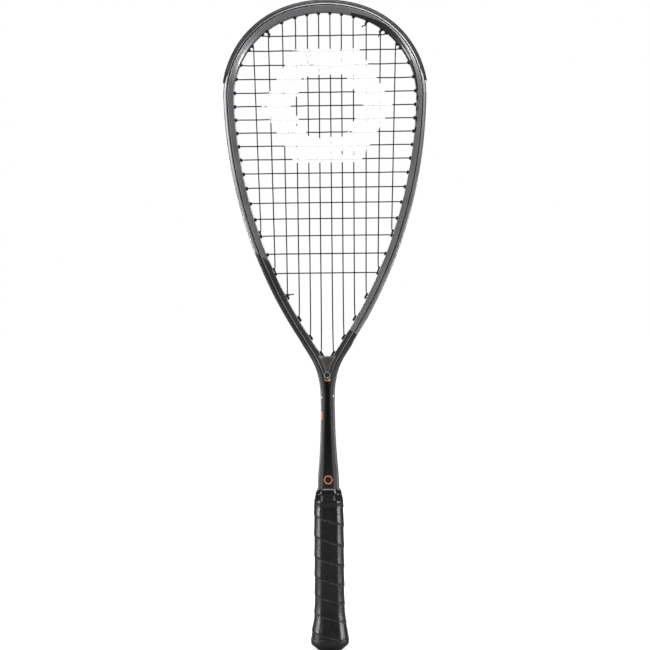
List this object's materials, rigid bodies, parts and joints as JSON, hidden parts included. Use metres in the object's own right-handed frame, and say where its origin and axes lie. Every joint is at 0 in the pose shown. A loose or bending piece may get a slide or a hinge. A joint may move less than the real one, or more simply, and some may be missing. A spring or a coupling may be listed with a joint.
{
  "type": "squash racket",
  "caption": "Teardrop squash racket with a hollow composite frame, woven string bed, bumper guard and a wrapped, flared handle.",
  "frame": {"origin": "middle of the butt cap's flat end face", "axes": "+Z along the racket from the butt to the top of the head, +X across the head, +Y through the string bed, away from the front face"},
  "size_m": [0.215, 0.0346, 0.685],
  "materials": {
    "frame_paint": "satin metallic lacquer over carbon composite",
    "bridge": "satin black lacquer",
    "guard": "moulded nylon, satin",
    "grommet": "moulded nylon, satin",
    "string": "coated multifilament",
    "pallet": "rigid foam",
    "plug": "foam rubber",
    "cap": "moulded, satin",
    "staple": "bright wire",
    "wrap": "glossy tacky polyurethane",
    "tape": "vinyl tape",
    "collar": "glossy rubber"
  },
  "bodies": {
    "root": {"frame": "frame_paint", "throat_bridge": "bridge", "bumper_guard": "guard", "grommet_strip_left": "grommet", "grommet_strip_right": "grommet", "throat_grommets_left": "grommet", "throat_grommets_right": "grommet", "main_string": "string", "cross_string": "string", "pallet_front": "pallet", "pallet_back": "pallet", "shaft_end_plug": "plug", "butt_cap": "cap", "butt_cap_staples": "staple", "grip_tack": "staple", "grip_wrap": "wrap", "finishing_tape": "tape"},
    "collar": {"grip_collar": "collar"}
  },
  "joints": [
    {"name": "collar_slide", "type": "slide", "parent": "root", "child": "collar", "axis": [0, 0, 1], "range_m": [0, 0.06]}
  ]
}
